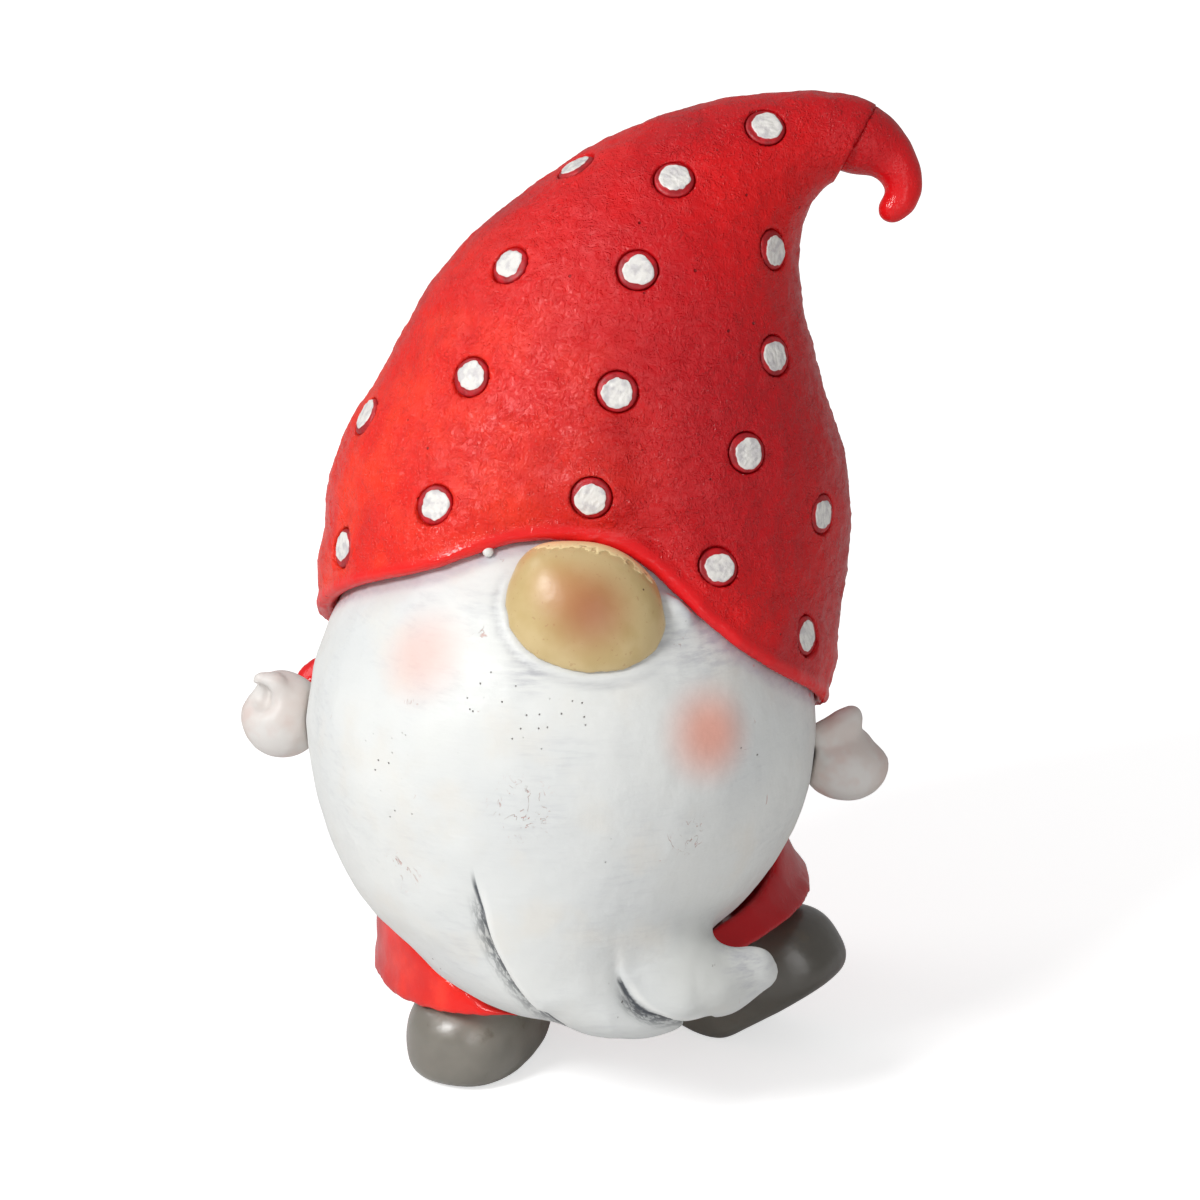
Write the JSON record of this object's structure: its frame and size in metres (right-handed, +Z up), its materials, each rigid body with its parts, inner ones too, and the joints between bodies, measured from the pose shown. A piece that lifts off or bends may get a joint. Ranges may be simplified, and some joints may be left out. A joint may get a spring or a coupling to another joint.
{
  "type": "gnome figurine",
  "caption": "Standing garden gnome ornament with a ball head, a beard that curls to one side, a tall spotted hat, a flared coat, mitten hands and stout boots, one kicked up.",
  "frame": {"origin": "on the ground, under the middle of the figure's bounding box", "axes": "+Z up along the figure's height, the face toward -Y, the gnome's left hand toward +X"},
  "size_m": [0.129, 0.1056, 0.184],
  "materials": {
    "white_paint": "satin white paint with a grey wash in the grooves, pale pink cheeks and fine casting pits",
    "nose_paint": "satin tan paint with an orange brown blush",
    "hat_red": "semi-gloss red paint over a felt-like relief",
    "dot_white": "thick white paint daubs on red buttons",
    "coat_red": "semi-gloss red paint",
    "mitten_white": "satin white paint with a faint pink wash",
    "boot_grey": "semi-gloss warm grey paint"
  },
  "bodies": {
    "root": {"head": "white_paint", "nose": "nose_paint", "hat": "hat_red", "hat_tip": "hat_red", "hat_dot_01": "dot_white", "hat_dot_02": "dot_white", "hat_dot_03": "dot_white", "hat_dot_04": "dot_white", "hat_dot_05": "dot_white", "hat_dot_06": "dot_white", "hat_dot_07": "dot_white", "hat_dot_08": "dot_white", "hat_dot_09": "dot_white", "hat_dot_10": "dot_white", "hat_dot_11": "dot_white", "hat_dot_12": "dot_white", "hat_dot_13": "dot_white", "hat_dot_14": "dot_white", "hat_dot_15": "dot_white", "hat_dot_16": "dot_white", "hat_dot_17": "dot_white", "hat_dot_18": "dot_white", "hat_dot_19": "dot_white", "hat_dot_20": "dot_white", "hat_dot_21": "dot_white", "hat_dot_22": "dot_white", "hat_dot_23": "dot_white", "hat_dot_24": "dot_white", "hat_dot_25": "dot_white", "hat_dot_26": "dot_white", "hat_dot_27": "dot_white", "hat_dot_28": "dot_white", "hat_dot_29": "dot_white", "coat": "coat_red", "right_sleeve": "coat_red", "left_sleeve": "coat_red", "right_mitten": "mitten_white", "left_mitten": "mitten_white", "right_boot": "boot_grey", "left_boot": "boot_grey"}
  },
  "joints": []
}
